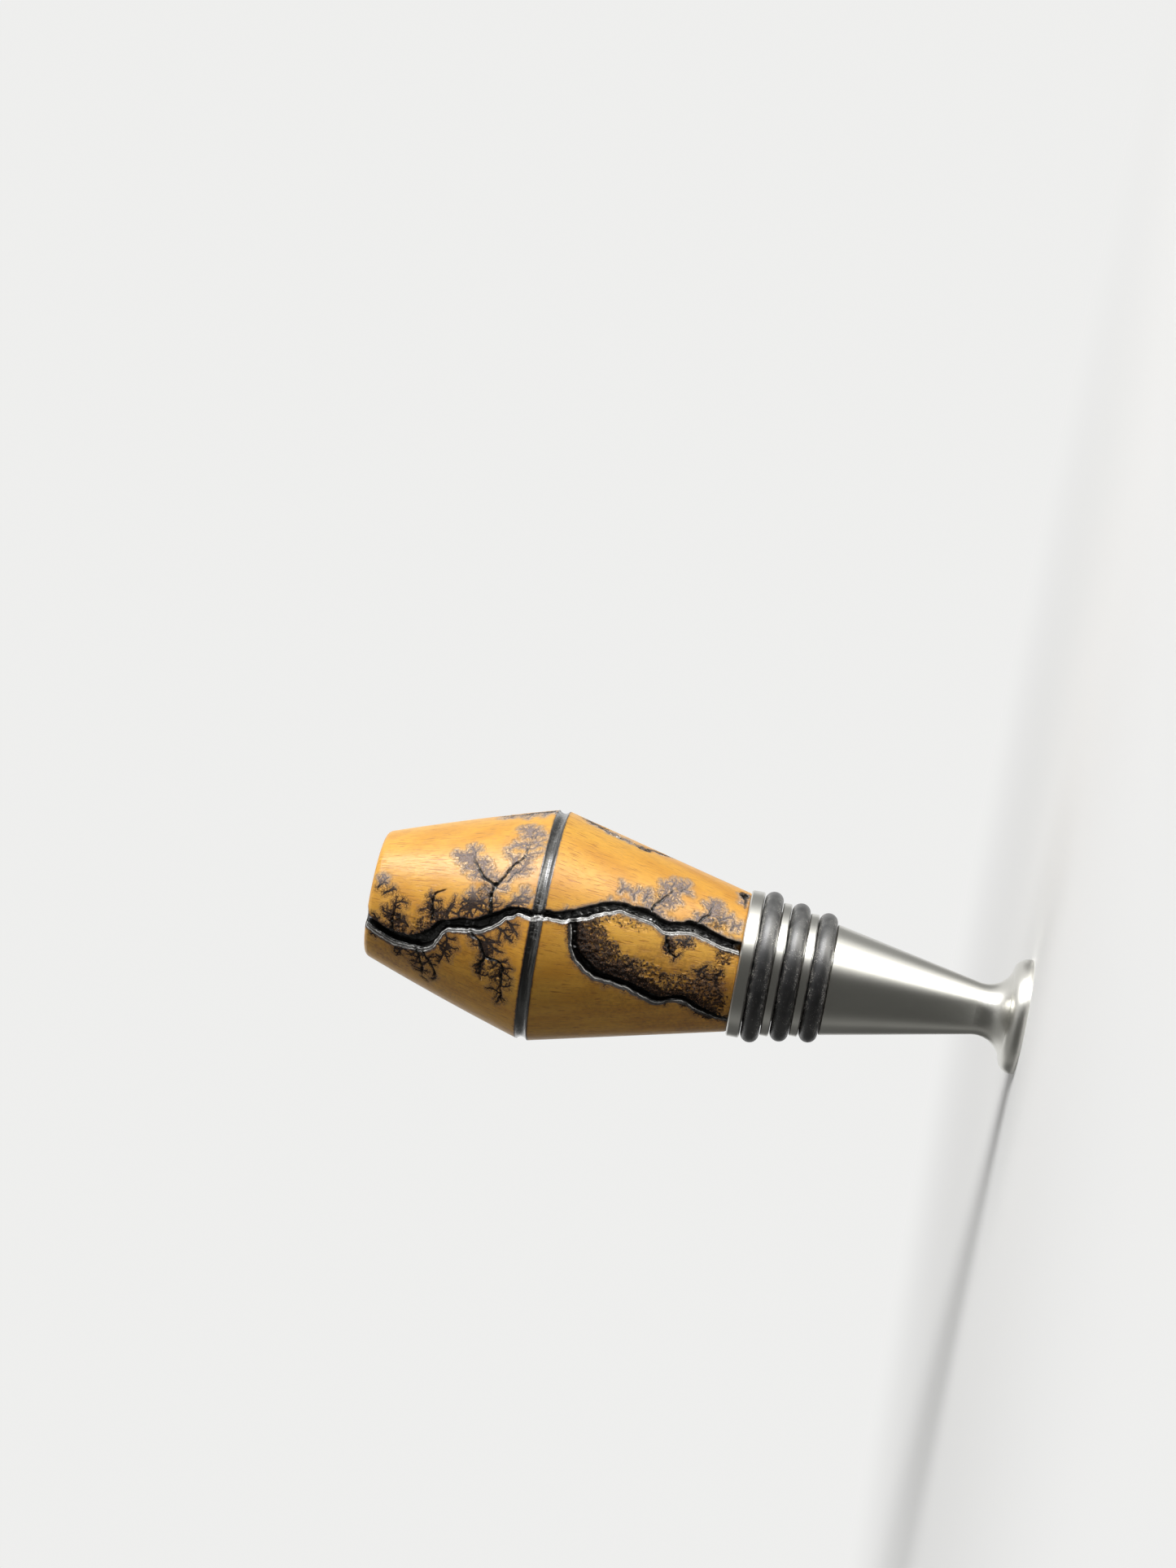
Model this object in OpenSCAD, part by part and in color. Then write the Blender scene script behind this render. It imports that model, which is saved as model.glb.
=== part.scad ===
// Bottle stopper: a turned wooden head with a burned fractal pattern, screwed on a turned
// steel stopper with three rubber rings. Lengths are in millimetres, angles in degrees.
// The stopper stands on its foot: the foot's underside is the plane of height zero, the
// turning axis is the vertical axis, and the burned side faces the front.

/* [Steel foot] */
// diameter of the foot over its rounded lip
foot_diameter = 16.4; // [14:0.1:20]
// thickness of the foot at the lip
foot_thickness = 2.5; // [1.5:0.1:4]
// radius of the rounded lip
lip_radius = 2.1; // [0.8:0.1:2.4]
// diameter of the neck at its narrowest
neck_diameter = 7.4; // [6:0.1:10]
// radius of the hollow curve between neck and foot
cove_radius = 4.0; // [3:0.1:6]

/* [Steel cone] */
// height of the cone's upper end above the foot's underside
cone_top = 28.0; // [20:0.5:40]
// diameter of the cone at its upper end
cone_diameter = 16.2; // [15.8:0.1:17]

/* [Rings and grooves] */
// thickness of the rubber of each ring
ring_section = 2.65; // [2:0.05:3.2]
// distance from ring to ring along the axis
ring_pitch = 4.05; // [3.8:0.05:5]
// outer diameter of the lower ring
ring_lower_diameter = 18.6; // [18.2:0.1:19]
// outer diameter of the middle ring
ring_middle_diameter = 19.9; // [19.5:0.1:20.4]
// outer diameter of the upper ring
ring_upper_diameter = 21.7; // [21.2:0.1:22.5]
// free space on each side of a ring in its groove
groove_side_gap = 0.08; // [0.02:0.01:0.2]
// free space between a ring and the floor of its groove
groove_floor_gap = 0.02; // [0:0.01:0.05]
// diameter of the land between the lower and the middle ring
land_lower_diameter = 17.6; // [17:0.1:18.2]
// diameter of the land between the middle and the upper ring
land_upper_diameter = 19.1; // [18.5:0.1:19.4]
// small bevel on the edges of the lands and of the cone
land_bevel = 0.15; // [0.05:0.05:0.3]

/* [Collar and stud] */
// diameter of the collar under the wood
collar_diameter = 21.0; // [20.4:0.1:22]
// height of the collar
collar_height = 1.9; // [1:0.1:4]
// bevel on both edges of the collar
collar_bevel = 0.2; // [0.05:0.05:0.5]
// diameter of the stud over its thread
stud_diameter = 9.5; // [6:0.1:11]
// length of the stud inside the wood
stud_length = 14.0; // [8:0.5:20]
// bevel at the stud's end
stud_bevel = 1.0; // [0.2:0.1:1.5]

/* [Wooden head] */
// length of the head along the axis
head_length = 52.6; // [40:0.2:70]
// diameter of the wood where it meets the collar
head_base_diameter = 19.9; // [18:0.1:20.4]
// diameter of the belly
belly_diameter = 33.5; // [28:0.1:40]
// height of the belly above the collar
belly_height = 28.3; // [22:0.1:34]
// diameter of the flat top
head_top_diameter = 17.8; // [14:0.2:22]
// how far the upper cone bulges beyond a straight line
upper_bulge = 0.2; // [0.05:0.05:0.5]
// rounding of the edge at the top
top_round = 1.1; // [0.4:0.1:2]
// rounding of the edge at the collar
base_round = 0.4; // [0.1:0.1:0.8]
// extra radius of the hole over the stud
stud_hole_gap = 0.05; // [0.02:0.01:0.15]
// extra depth of the hole beyond the stud
stud_hole_extra = 1.5; // [0.5:0.5:3]

/* [Belly groove] */
// width of the burned groove round the belly
belly_groove_width = 1.7; // [1:0.1:2.4]
// depth of the burned groove
belly_groove_depth = 0.6; // [0.2:0.1:1]

/* [Burned channels] */
// width of the main channel at the surface
channel_width = 1.3; // [0.8:0.1:1.8]
// depth of the main channel
channel_depth = 1.1; // [0.5:0.1:1.6]
// share of the width that is left at the channel's floor
channel_floor = 0.55; // [0.2:0.05:0.7]

/* [Hidden] */
// sides of a drawn circle
$fn = 96;
// overlap of cuts with the open air
air = 0.8;
// straight stretches that draw the curve between two points of a channel's path
curve_steps = 2;
// share of the full depth that the finest twig keeps
thin_depth = 0.25;
// sides of the large circle that draws the bulge, and of the circle of the hollow curve
bulge_sides = 720;
cove_sides = 192;
// sides of a ring's rubber seen in section
rubber_sides = 48;
// shared bit that closes a joint inside one piece
bit = 0.01;

foot_r = foot_diameter / 2;
neck_r = neck_diameter / 2;
lip_centre_r = foot_r - lip_radius;
lip_centre_z = foot_thickness - lip_radius;
cove_centre_r = neck_r + cove_radius;
cove_reach = cove_centre_r - lip_centre_r;
cove_centre_z = foot_thickness + sqrt(cove_radius * cove_radius - cove_reach * cove_reach);

// the cone's line runs from its upper end to the tangent point on the hollow curve
cone_r = cone_diameter / 2;
cone_dr = cove_centre_r - cone_r;
cone_dz = cove_centre_z - cone_top;
cone_reach = sqrt(cone_dr * cone_dr + cone_dz * cone_dz);
cone_line = sqrt(cone_reach * cone_reach - cove_radius * cove_radius);
cone_angle = atan2(cone_dz, cone_dr) - asin(cove_radius / cone_reach);
tangent_r = cone_r + cone_line * cos(cone_angle);
tangent_z = cone_top + cone_line * sin(cone_angle);

groove_half = ring_section / 2 + groove_side_gap;
ring_lower_z = cone_top + groove_half;
ring_middle_z = ring_lower_z + ring_pitch;
ring_upper_z = ring_middle_z + ring_pitch;
ring_lower_r = (ring_lower_diameter - ring_section) / 2;
ring_middle_r = (ring_middle_diameter - ring_section) / 2;
ring_upper_r = (ring_upper_diameter - ring_section) / 2;
floor_drop = ring_section / 2 + groove_floor_gap;
land_lower_r = land_lower_diameter / 2;
land_upper_r = land_upper_diameter / 2;

collar_r = collar_diameter / 2;
collar_z = ring_upper_z + groove_half;
wood_z = collar_z + collar_height;
stud_r = stud_diameter / 2;

base_r = head_base_diameter / 2;
belly_r = belly_diameter / 2;
top_r = head_top_diameter / 2;
top_z = wood_z + head_length;
belly_z = wood_z + belly_height;
groove_cut_r = (belly_groove_width * belly_groove_width / 4 + belly_groove_depth * belly_groove_depth)
    / (2 * belly_groove_depth);

// circle whose arc is the slightly full line of the upper cone
upper_dr = belly_r - top_r;
upper_dz = head_length - belly_height;
upper_chord = sqrt(upper_dr * upper_dr + upper_dz * upper_dz);
bulge_r = upper_chord * upper_chord / (8 * upper_bulge) + upper_bulge / 2;
bulge_inset = bulge_r - upper_bulge;
bulge_centre_r = (belly_r + top_r) / 2 - bulge_inset * upper_dz / upper_chord;
bulge_centre_z = (belly_z + top_z) / 2 - bulge_inset * upper_dr / upper_chord;

// rounding that touches both the flat top and the sloping side
top_slope = atan2(upper_dr, upper_dz) + asin(upper_chord / (2 * bulge_r));
top_trim = top_round / tan(45 + top_slope / 2);

// radius of the wood at a height above the foot's underside
function lower_cone_r(z) = base_r + (belly_r - base_r) * (z - wood_z) / belly_height;
function upper_cone_r(z) = bulge_centre_r + sqrt(bulge_r * bulge_r - pow(z - bulge_centre_z, 2));
function wood_r(z) = z < belly_z ? lower_cone_r(z) : upper_cone_r(z);

// Burned channels. Each point is an angle from the front, towards the side that is up in
// the photograph, a height in percent of the head's length, and a share of the full width.
main_path = [
    [-20, 101.5, 1.1], [-24.5, 98.5, 1.1], [-28, 95, 1.2], [-29, 91, 1.35], [-27.5, 87, 1.5],
    [-24.5, 83.5, 1.65], [-17.5, 81.3, 1.5], [-11.5, 79.8, 1.15], [-7.5, 77.5, 1.1],
    [-5.5, 74, 1.15], [-4, 70.5, 1.15], [-0.5, 66.8, 1.25], [3.5, 64, 0.95], [7, 61, 0.85],
    [8, 58, 0.75], [7.5, 55.5, 0.7], [8, 52, 0.7], [9, 48.5, 0.8], [11, 45, 1], [14.5, 41.5, 1],
    [18, 38, 1], [21, 34.5, 1], [22, 32, 1], [22, 27, 1.05], [20.5, 24, 1.05], [18.5, 21.5, 1.05],
    [17.5, 19.5, 1.1], [19.5, 16.5, 1.05], [21.5, 14, 1.1], [20.5, 10.5, 1.05], [18.5, 7.5, 1.05],
    [16.5, 4, 1.05], [16, 1, 1], [15.5, -1.5, 1]
];
loop_path = [
    [10, 44.5, 0.5], [4, 43.5, 0.6], [-2, 43, 0.65], [-8, 42, 0.7], [-14, 39, 0.75],
    [-18.5, 36, 0.8], [-20.5, 32.5, 0.75], [-22.5, 29, 0.75], [-25, 26, 0.75], [-29, 22.5, 0.75],
    [-32, 20, 0.75], [-32, 17, 0.7], [-30, 14, 0.65], [-34, 11, 0.6], [-38.5, 8.5, 0.6],
    [-44, 5.5, 0.5], [-49, 2.5, 0.5], [-52, -1.5, 0.5]
];
side_path = [
    [91, 48.5, 0.2], [86, 45.5, 0.3], [80, 42, 0.4], [78.5, 38, 0.45], [78.5, 34.5, 0.45],
    [76, 31.5, 0.35], [82, 28, 0.3], [86, 25.5, 0.4], [90, 23, 0.25]
];
side_upper_path = [[91, 55.5, 0.4], [88, 58.5, 0.4], [85, 61.5, 0.4], [80, 64.5, 0.3], [83, 69, 0.2]];
collar_path = [[52, 1, 0.15], [64, 1.3, 0.3], [71, 2.2, 0.6], [76, 1, 0.6]];
upper_trunk = [[-2, 67, 0.4], [3, 66.5, 0.4], [9, 67, 0.4], [15, 67, 0.43], [20, 66.5, 0.49]];
upper_left = [[19, 66.5, 0.33], [23, 69.5, 0.33], [29, 72, 0.3], [35.5, 74, 0.26], [39, 74.5, 0.17]];
upper_right = [
    [19, 66.5, 0.33], [24, 65, 0.33], [29.5, 63.5, 0.3], [38.5, 60.5, 0.23], [48, 60, 0.17],
    [58.5, 60, 0.1]
];
lower_tree = [
    [-5, 72, 0.33], [-9, 70.5, 0.33], [-12, 68.5, 0.3], [-17, 67, 0.3], [-21, 66, 0.3],
    [-21, 63, 0.23], [-22.5, 60.5, 0.23], [-31, 60.5, 0.2], [-42, 60, 0.1]
];
lower_twig = [[-21, 66, 0.2], [-28, 67, 0.2], [-35, 66, 0.1]];
left_shrub = [
    [-28, 86, 0.26], [-33, 85, 0.23], [-40, 83.5, 0.23], [-46, 82.5, 0.17], [-56.5, 82.5, 0.1]
];
left_twig = [
    [-28, 83, 0.23], [-35.5, 82, 0.23], [-40.5, 80, 0.23], [-44.5, 79, 0.17], [-51.5, 78.5, 0.1]
];
stub_path = [[20, 21, 0.3], [14, 20, 0.3], [7, 19.5, 0.26], [1, 18, 0.2], [-2, 16.5, 0.1]];
right_tree = [
    [22, 25, 0.23], [24, 25, 0.26], [30.5, 24, 0.26], [35, 22.5, 0.23], [43, 20.5, 0.17],
    [50, 18, 0.1]
];
right_twig = [[22, 12.5, 0.23], [24, 12.5, 0.26], [30, 11, 0.26], [35, 10, 0.23], [47, 9, 0.1]];
crown_mid = [[-8, 82, 0.2], [-3, 82, 0.26], [3.5, 82.5, 0.23], [9.5, 82, 0.17], [13.5, 79.5, 0.1]];
crown_left = [[-26, 92.5, 0.26], [-20, 92.5, 0.26], [-11, 92.5, 0.23], [0.5, 92, 0.1]];

// smooth curve through a path's points, with extra points between them
function spline(a, b, c, d, t) = (2 * b + (c - a) * t + (2 * a - 5 * b + 4 * c - d) * t * t
    + (3 * b - a - 3 * c + d) * t * t * t) / 2;
function smooth(path) = [
    for (i = [0:len(path) - 2])
        for (k = [0:curve_steps - 1])
            spline(path[max(i - 1, 0)], path[i], path[i + 1],
                path[min(i + 2, len(path) - 1)], k / curve_steps),
    path[len(path) - 1]
];

function point_z(p) = wood_z + p[1] / 100 * head_length;
function radial(p) = [sin(p[0]), -cos(p[0]), 0];
function on_wood(p, out) = radial(p) * (wood_r(min(max(point_z(p), wood_z), top_z)) + out)
    + [0, 0, point_z(p)];
function unit(v) = v / norm(v);
function sideways(path, i) = unit(cross(
    on_wood(path[min(i + 1, len(path) - 1)], 0) - on_wood(path[max(i - 1, 0)], 0),
    radial(path[i])));
function floor_half(p) = channel_width * p[2] * channel_floor / 2;
function wall_half(p) = channel_width * p[2] / 2
    + air * channel_width * (1 - channel_floor) / (2 * channel_depth) * min(p[2], 1);
function channel_deep(p) = channel_depth * min(1, thin_depth + (1 - thin_depth) * p[2]);
function section(path, i) = [
    on_wood(path[i], air) - sideways(path, i) * wall_half(path[i]),
    on_wood(path[i], air) + sideways(path, i) * wall_half(path[i]),
    on_wood(path[i], -channel_deep(path[i])) + sideways(path, i) * floor_half(path[i]),
    on_wood(path[i], -channel_deep(path[i])) - sideways(path, i) * floor_half(path[i])
];
function ring_faces(i) = [
    for (k = [0:3])
        for (t = [
            [4 * i + k, 4 * (i + 1) + k, 4 * i + (k + 1) % 4],
            [4 * i + (k + 1) % 4, 4 * (i + 1) + k, 4 * (i + 1) + (k + 1) % 4]
        ]) t
];

// one channel, as the solid that is cut out of the wood
module channel(path) {
    curve = smooth(path);
    last = len(curve) - 1;
    points = [for (i = [0:last]) each section(curve, i)];
    start_faces = [[0, 1, 2], [0, 2, 3]];
    end_faces = [[4 * last, 4 * last + 2, 4 * last + 1], [4 * last, 4 * last + 3, 4 * last + 2]];
    side_faces = [for (i = [0:last - 1]) each ring_faces(i)];
    polyhedron(points = points, faces = concat(start_faces, side_faces, end_faces), convexity = 10);
}

module head_blank() {
    rotate_extrude()
        union() {
            intersection() {
                polygon([
                    [0, wood_z], [base_r - base_round, wood_z], [base_r, wood_z + base_round],
                    [belly_r, belly_z], [0, belly_z]
                ]);
                square([belly_r, belly_z]);
            }
            difference() {
                intersection() {
                    translate([0, belly_z - bit])
                        square([belly_r, upper_dz + bit]);
                    translate([bulge_centre_r, bulge_centre_z])
                        circle(r = bulge_r, $fn = bulge_sides);
                }
                difference() {
                    polygon([
                        [top_r - top_trim, top_z - top_round], [top_r - top_trim, top_z + air],
                        [top_r + air, top_z + air],
                        [top_r + top_trim * sin(top_slope) + air, top_z - top_trim * cos(top_slope)],
                        [top_r + top_trim * sin(top_slope), top_z - top_trim * cos(top_slope)]
                    ]);
                    translate([top_r - top_trim, top_z - top_round])
                        circle(r = top_round);
                }
            }
        }
}

module wooden_head() {
    color([0.80, 0.52, 0.25])
        difference() {
            head_blank();
            rotate_extrude()
                translate([belly_r - belly_groove_depth + groove_cut_r, belly_z])
                    circle(r = groove_cut_r);
            translate([0, 0, wood_z - air])
                cylinder(r = stud_r + stud_hole_gap, h = stud_length + stud_hole_extra + air);
            channel(main_path);
            channel(loop_path);
            channel(side_path);
            channel(side_upper_path);
            channel(collar_path);
            channel(upper_trunk);
            channel(upper_left);
            channel(upper_right);
            channel(lower_tree);
            channel(lower_twig);
            channel(left_shrub);
            channel(left_twig);
            channel(stub_path);
            channel(right_tree);
            channel(right_twig);
            channel(crown_mid);
            channel(crown_left);
        }
}

// cut line of the foot, the hollow neck and everything above it
module foot_section() {
    intersection() {
        translate([lip_centre_r, lip_centre_z])
            circle(r = lip_radius);
        square([foot_r, foot_thickness]);
    }
    square([lip_centre_r, foot_thickness]);
    difference() {
        polygon([
            [0, 0], [lip_centre_r, 0], [lip_centre_r, foot_thickness], [tangent_r, tangent_z],
            [0, tangent_z]
        ]);
        translate([cove_centre_r, cove_centre_z])
            circle(r = cove_radius, $fn = cove_sides);
    }
}

module body_section() {
    polygon([
        [0, tangent_z - bit], [tangent_r, tangent_z],
        [cone_r - land_bevel, cone_top - land_bevel], [cone_r - 2 * land_bevel, cone_top],
        [ring_lower_r - floor_drop, cone_top],
        [ring_lower_r - floor_drop, ring_lower_z + groove_half],
        [land_lower_r - land_bevel, ring_lower_z + groove_half],
        [land_lower_r, ring_lower_z + groove_half + land_bevel],
        [land_lower_r, ring_middle_z - groove_half - land_bevel],
        [land_lower_r - land_bevel, ring_middle_z - groove_half],
        [ring_middle_r - floor_drop, ring_middle_z - groove_half],
        [ring_middle_r - floor_drop, ring_middle_z + groove_half],
        [land_upper_r - land_bevel, ring_middle_z + groove_half],
        [land_upper_r, ring_middle_z + groove_half + land_bevel],
        [land_upper_r, ring_upper_z - groove_half - land_bevel],
        [land_upper_r - land_bevel, ring_upper_z - groove_half],
        [ring_upper_r - floor_drop, ring_upper_z - groove_half],
        [ring_upper_r - floor_drop, collar_z],
        [collar_r - collar_bevel, collar_z],
        [collar_r, collar_z + collar_bevel],
        [collar_r, wood_z - collar_bevel],
        [collar_r - collar_bevel, wood_z],
        [stud_r, wood_z],
        [stud_r, wood_z + stud_length - stud_bevel],
        [stud_r - stud_bevel, wood_z + stud_length],
        [0, wood_z + stud_length]
    ]);
}

module steel_stopper() {
    color([0.72, 0.72, 0.70])
        rotate_extrude()
            union() {
                foot_section();
                body_section();
            }
}

module rubber_ring(centre_r, centre_z) {
    color([0.07, 0.07, 0.075])
        rotate_extrude()
            translate([centre_r, centre_z])
                circle(r = ring_section / 2, $fn = rubber_sides);
}

module o_ring_upper() {
    rubber_ring(ring_upper_r, ring_upper_z);
}

module o_ring_middle() {
    rubber_ring(ring_middle_r, ring_middle_z);
}

module o_ring_lower() {
    rubber_ring(ring_lower_r, ring_lower_z);
}

wooden_head();
steel_stopper();
o_ring_upper();
o_ring_middle();
o_ring_lower();
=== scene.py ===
"""Looks of the wooden bottle stopper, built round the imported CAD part.

The frame is the CAD frame in metres. The stopper stands on its steel foot; +Z is the
turning axis, -Y the burned front, +X the side that is up in the photograph.
Burn marks are placed by an angle from the front (degrees, positive towards +X) and a
height in percent of the wooden head's length, as in the part's source.
"""

import math
from types import SimpleNamespace

import bpy
import numpy as np
from mathutils import Matrix, Vector


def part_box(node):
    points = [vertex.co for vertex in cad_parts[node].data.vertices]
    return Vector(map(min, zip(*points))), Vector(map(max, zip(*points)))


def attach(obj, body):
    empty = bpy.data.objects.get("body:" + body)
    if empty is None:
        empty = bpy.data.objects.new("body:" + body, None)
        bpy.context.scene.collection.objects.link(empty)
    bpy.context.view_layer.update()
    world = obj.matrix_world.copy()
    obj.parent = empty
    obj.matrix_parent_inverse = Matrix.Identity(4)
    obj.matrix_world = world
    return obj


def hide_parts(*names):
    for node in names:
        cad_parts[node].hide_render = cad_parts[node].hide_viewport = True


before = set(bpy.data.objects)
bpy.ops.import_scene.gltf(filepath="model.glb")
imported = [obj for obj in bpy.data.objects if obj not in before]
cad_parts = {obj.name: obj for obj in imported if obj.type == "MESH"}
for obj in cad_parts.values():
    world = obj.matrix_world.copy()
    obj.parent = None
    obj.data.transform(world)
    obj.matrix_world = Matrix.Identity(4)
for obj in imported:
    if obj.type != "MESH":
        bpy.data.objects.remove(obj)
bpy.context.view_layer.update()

MM = 0.001
SEED = 41

# the turned head, in millimetres as in the part's source; the skins stay inside its box
WOOD_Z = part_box("wooden_head")[0].z / MM
TOP_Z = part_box("wooden_head")[1].z / MM
HEAD = TOP_Z - WOOD_Z
INSIDE = 0.004
LIMIT_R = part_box("wooden_head")[1].x / MM - INSIDE
BASE_R = 9.95
BELLY_R = 16.75
BELLY_Z = WOOD_Z + 28.3
TOP_R = 8.9
BULGE = 0.2
TOP_ROUND = 1.1
BASE_ROUND = 0.4
GROOVE_W = 1.7
GROOVE_D = 0.6
HOLE_R = 4.8
HOLE_DEPTH = 15.5

# channels of width 1 in the lists below: width, depth, and where the wall leaves the flat bottom
CHANNEL_W = 1.3
CHANNEL_D = 1.1
WALL_START = 0.6
# the sloping shoulder past a channel's lower edge, and the two beads that run along it, whose bright
# colour is a painted highlight
SHOULDER_W = 0.62
SHOULDER_D = 0.30
BEAD_W = 0.115
BEADS = (0.10, 0.43)
# relief of twigs, lace, crumbs of char and the channels' uneven walls
TWIG_D = 0.07
LACE_D = 0.03
CRUMB_D = 0.30
UNEVEN_D = 0.08
# spacing of the skins' rows, how far each kind of mark reaches, and values beyond its reach
ROW_STEP = 0.137
CHANNEL_REACH = 3.0
TWIG_REACH = 1.2
FAR_OVER = 3.0
FAR_AWAY = 9.0
# height won by a step along the slanting side, as a share of the step
CLIMB = 0.96

# growing twigs: step in mm, wander in degrees a step, chance of a fork at each level, its angle
TWIG_STEP = 0.34
WANDER = 17
FORK_CHANCE = (0.62, 0.5, 0.36)
FORK_ANGLE = (28, 68)
TUFT_WIDTH = 0.2
FRINGE_WIDTH = 0.13
LEVEL_DARK = (1.0, 0.92, 0.8, 0.62)

# the photograph's camera, fitted to the circles of the outline: place in mm, and directions
FOCAL_PIXELS = 4280
PHOTO_HEIGHT = 1927
CAMERA_PLACE = (26.6, -494.8, 36.6)
CAMERA_FORWARD = (-0.01151, 0.99810, 0.06060)
CAMERA_UP = (0.98243, 0.0, 0.18662)
# lamps aimed at the object's middle: name, place and size in metres, watts, seen in mirrors
MIDDLE = (0, 0, 0.055)
LAMPS = [
    ("key", (0.61, -0.31, 0.46), (0.42, 0.36), 5.0, True),
    ("key_low", (0.68, -0.42, 0.10), (0.36, 0.20), 4.2, True),
    ("top", (-0.05, 0.05, 0.95), (0.6, 0.6), 3.6, False),
    ("front_fill", (-0.20, -0.85, 0.30), (0.5, 0.5), 0.35, False),
    ("back_fill", (-0.5, 0.6, 0.5), (0.5, 0.5), 0.6, False),
]
# tones of the background, the near floor and the far floor
PALE = (0.86, 0.86, 0.85)
FLOOR_TONE = (0.82, 0.82, 0.81)
FAR_TONE = (0.12, 0.12, 0.12)
# metres from the object between which the floor turns into the background, into the dim tone
# that bounced light meets, and into the studio that mirrors see
FADE = (0.05, 0.22)
DIM_FROM = (0.02, 0.11)
STUDIO_FROM = (0.009, 0.017)
# the low even light of the room
ROOM_LIGHT = 0.07
ROOM_TONE = (1.0, 0.99, 0.97, 1.0)
# what mirrors see of the studio: direction, where its soft edge starts and ends (cosines), tone
MIRRORED = [
    ((-1.0, -0.15, 0.0), (0.25, 0.80), (0.24, 0.24, 0.23)),
    ((-0.20, 0.15, 1.0), (0.70, 0.97), (0.30, 0.30, 0.29)),
    ((-0.42, -0.90, 0.0), (0.25, 0.80), (0.09, 0.09, 0.085)),
    ((-0.77, 0.64, 0.0), (0.85, 0.97), (0.12, 0.12, 0.115)),
    ((0.80, 0.60, 0.0), (0.87, 0.98), (0.36, 0.36, 0.35)),
    ((0.90, -0.42, -0.12), (0.80, 0.93), (1.30, 1.29, 1.24)),
    ((0.86, -0.47, -0.22), (0.92, 0.985), (7.0, 6.85, 6.4)),
]


# profile of the head
def bulge_circle():
    """The wide circle of the crown's side: radius, centre, and its slope at the top."""
    dr, dz = BELLY_R - TOP_R, TOP_Z - BELLY_Z
    chord = math.hypot(dr, dz)
    radius = chord * chord / (8 * BULGE) + BULGE / 2
    inset = radius - BULGE
    middle_r, middle_z = (BELLY_R + TOP_R) / 2, (BELLY_Z + TOP_Z) / 2
    centre = (middle_r - inset * dz / chord, middle_z - inset * dr / chord)
    return radius, centre, math.atan2(dr, dz) + math.asin(chord / (2 * radius))


ARC_R, ARC_C, TOP_SLOPE = bulge_circle()


def wood_r(z):
    """Radius of the turned side at a height, without the groove and the rounded edges."""
    z = np.asarray(z, float)
    low = BASE_R + (BELLY_R - BASE_R) * (z - WOOD_Z) / (BELLY_Z - WOOD_Z)
    high = ARC_C[0] + np.sqrt(np.maximum(ARC_R**2 - (z - ARC_C[1]) ** 2, 0))
    return np.where(z < BELLY_Z, low, high)


def head_profile():
    """Rows from the middle of the top, down the outside, under the base and up the hole.
    Each row is (radius, height, kind): kind 1 is the turned outside, 2 the top, 0 hidden."""
    trim = TOP_ROUND / math.tan(math.pi / 4 + TOP_SLOPE / 2)
    flat = TOP_R - trim
    rows = [(0.0, TOP_Z, 2)]
    rows += [(float(r), TOP_Z, 2) for r in np.linspace(1.0, flat - 3, 8, endpoint=False)]
    rows += [(float(r), TOP_Z, 2) for r in np.linspace(flat - 3, flat, 20)]
    for a in np.linspace(math.pi / 2, TOP_SLOPE, 10)[1:]:
        rows.append((flat + TOP_ROUND * math.cos(a), TOP_Z - TOP_ROUND + TOP_ROUND * math.sin(a), 1))
    cut_r = (GROOVE_W**2 / 4 + GROOVE_D**2) / (2 * GROOVE_D)
    cut_c = BELLY_R - GROOVE_D + cut_r

    def groove_edge(sign):
        z = BELLY_Z
        while math.hypot(float(wood_r(z)) - cut_c, z - BELLY_Z) < cut_r:
            z += sign * 0.002
        return z

    top_edge, low_edge = groove_edge(1), groove_edge(-1)
    start = rows[-1][1]
    for z in np.linspace(start, top_edge, int((start - top_edge) / ROW_STEP) + 1)[1:]:
        rows.append((float(wood_r(z)), float(z), 1))
    seam = len(rows) - 1
    a0 = math.asin((top_edge - BELLY_Z) / cut_r)
    a1 = math.asin((low_edge - BELLY_Z) / cut_r)
    for a in np.linspace(a0, a1, 17)[1:]:
        rows.append((cut_c - cut_r * math.cos(a), BELLY_Z + cut_r * math.sin(a), 1))
    end = WOOD_Z + BASE_ROUND
    for z in np.linspace(low_edge, end, int((low_edge - end) / ROW_STEP) + 1)[1:]:
        rows.append((float(wood_r(z)), float(z), 1))
    base_edge = [(0.02, 0.28), (0.09, 0.12), (0.2, 0.03), (0.4, 0.0)]
    rows += [(float(wood_r(end)) - a, WOOD_Z + b, 1) for a, b in base_edge]
    underside = [(8.0, 0), (6.0, 0), (HOLE_R, 0), (HOLE_R, 8), (HOLE_R, HOLE_DEPTH), (0.0, HOLE_DEPTH)]
    rows += [(r, WOOD_Z + up, 0) for r, up in underside]
    return rows, seam


def head_columns():
    """Angles of the columns in degrees, close together where the wood is burned."""
    # from and to in degrees, and columns a millimetre at the belly
    spans = [
        (-180, -82, 0.9), (-82, -62, 3.0), (-62, 32, 9.3),
        (32, 72, 5.0), (72, 104, 6.0), (104, 180, 0.7),
    ]
    out = []
    for a, b, per_mm in spans:
        n = max(2, int(round(math.radians(b - a) * BELLY_R * per_mm)))
        out += list(np.linspace(a, b, n, endpoint=False))
    return np.array(out)
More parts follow.
